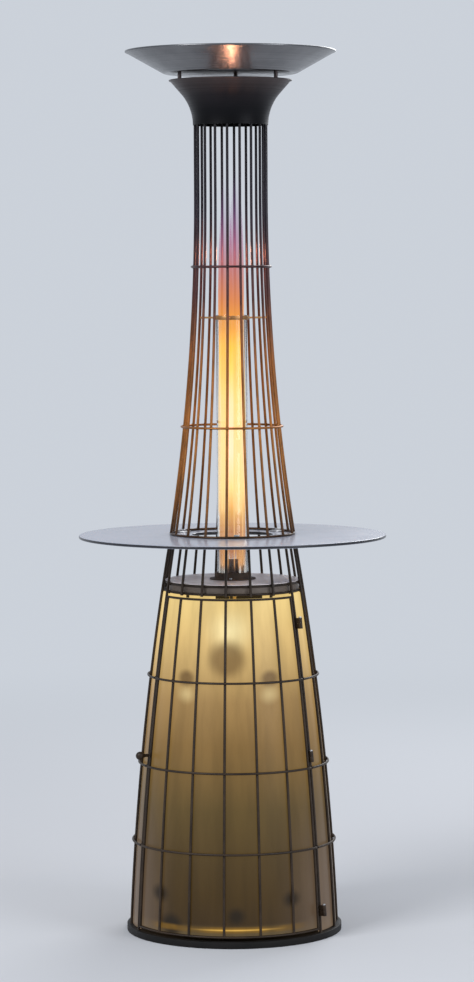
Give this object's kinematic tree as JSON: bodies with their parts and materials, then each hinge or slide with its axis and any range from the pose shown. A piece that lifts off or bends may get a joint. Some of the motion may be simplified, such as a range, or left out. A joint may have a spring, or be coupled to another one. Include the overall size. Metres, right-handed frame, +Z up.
{
  "type": "outdoor heater",
  "caption": "Free-standing gas flame heater: lit caged base with a hinged door, round table, caged flame tube, flared collar and dish on top.",
  "frame": {"origin": "on the floor at the heater's axis", "axes": "+Z up along the axis, -Y towards the front with the door, +X towards the hinged side of the door"},
  "size_m": [0.7999, 0.8, 2.2875],
  "materials": {
    "cage_steel": "satin black-bronze coat on steel rod",
    "tower_steel": "satin bronze coat, heat tinted",
    "base_paint": "satin black powder coat",
    "bright_steel": "plated steel",
    "diffuser_acrylic": "translucent cream acrylic, lit from inside",
    "knob_metal": "satin bronze",
    "magnet_ferrite": "dull magnet block",
    "deck_steel": "brushed",
    "burner_iron": "cast and heat browned",
    "burner_steel": "heat dulled",
    "gas_brass": "machined",
    "electrode_ceramic": "plain white ceramic",
    "flame_glass": "clear borosilicate tube",
    "table_paint": "pale satin powder coat",
    "collar_steel": "dark satin steel",
    "dish_steel": "spun and brushed steel",
    "tray_paint": "satin black powder coat",
    "valve_metal": "die cast",
    "knob_plastic": "fine grained black",
    "button_plastic": "moulded red",
    "bottle_paint": "grey gas bottle enamel",
    "handwheel_plastic": "moulded black",
    "black_rubber": "smooth black rubber",
    "pipe_copper": "drawn copper pipe",
    "lamp_paint": "matt black",
    "lamp_glass": "opal lamp glass"
  },
  "bodies": {
    "frame": {"cage_rods": "cage_steel", "neck_rods": "cage_steel", "cage_hoops": "cage_steel", "neck_hoops": "cage_steel", "table_hoop": "cage_steel", "hinge_jamb_eyes": "cage_steel", "table_lugs": "cage_steel", "tower_base_hoop": "tower_steel", "tower_rods": "tower_steel", "tower_hoops": "tower_steel", "tower_top_ring": "tower_steel", "tube_ring": "tower_steel", "base_ring": "base_paint", "base_plate": "base_paint", "hinge_pins": "bright_steel", "burner_screws": "bright_steel", "table_bolts": "bright_steel", "dish_screws": "bright_steel", "dish_posts": "bright_steel", "thermocouple": "bright_steel", "rear_diffuser": "diffuser_acrylic", "door_magnet": "magnet_ferrite", "deck": "deck_steel", "burner_seat": "burner_iron", "burner": "burner_steel", "mixing_tube": "burner_steel", "injector": "gas_brass", "bottle_valve": "gas_brass", "igniter_electrode": "electrode_ceramic", "glass_tube": "flame_glass", "table_top": "table_paint", "collar": "collar_steel", "dish": "dish_steel", "control_tray": "tray_paint", "gas_valve": "valve_metal", "regulator": "valve_metal", "button_barrels": "knob_plastic", "gas_bottle": "bottle_paint", "bottle_guard": "bottle_paint", "gas_hose": "black_rubber", "bottle_stops": "black_rubber", "gas_pipe": "pipe_copper", "lamp_stems": "lamp_paint", "lamp_housings": "lamp_paint", "globe_lamp": "lamp_glass", "spot_lenses": "lamp_glass"},
    "door": {"door_panel": "diffuser_acrylic", "door_rods": "cage_steel", "door_rails": "cage_steel", "door_hoops": "cage_steel", "door_knob": "knob_metal", "door_keeper": "bright_steel", "hinge_door_eyes": "cage_steel"},
    "gas_spindle": {"gas_spindle": "bright_steel"},
    "gas_knob": {"gas_knob": "knob_plastic"},
    "igniter_button": {"igniter_button": "button_plastic"},
    "lamp_switch_button": {"lamp_switch_button": "button_plastic"},
    "handwheel": {"handwheel": "handwheel_plastic"}
  },
  "joints": [
    {"name": "door_swing", "type": "hinge", "parent": "frame", "child": "door", "pos_m": [0.24701, -0.14261, 0.076], "axis": [-0.0836, 0.0483, 0.9953], "range_deg": [0, 110]},
    {"name": "gas_knob_push", "type": "slide", "parent": "frame", "child": "gas_spindle", "axis": [0, -1, 0], "range_m": [0, 0.004], "stiffness_N_per_m": 400},
    {"name": "gas_knob_turn", "type": "hinge", "parent": "gas_spindle", "child": "gas_knob", "pos_m": [0.033, 0.18, 0.814], "axis": [0, 1, 0], "range_deg": [0, 180]},
    {"name": "igniter_press", "type": "slide", "parent": "frame", "child": "igniter_button", "axis": [0, -1, 0], "range_m": [0, 0.006], "stiffness_N_per_m": 300},
    {"name": "lamp_switch_press", "type": "slide", "parent": "frame", "child": "lamp_switch_button", "axis": [0, -1, 0], "range_m": [0, 0.003], "stiffness_N_per_m": 300},
    {"name": "bottle_valve_turn", "type": "hinge", "parent": "frame", "child": "handwheel", "pos_m": [0, 0, 0.527], "axis": [0, 0, 1], "range_deg": [0, 540]}
  ]
}
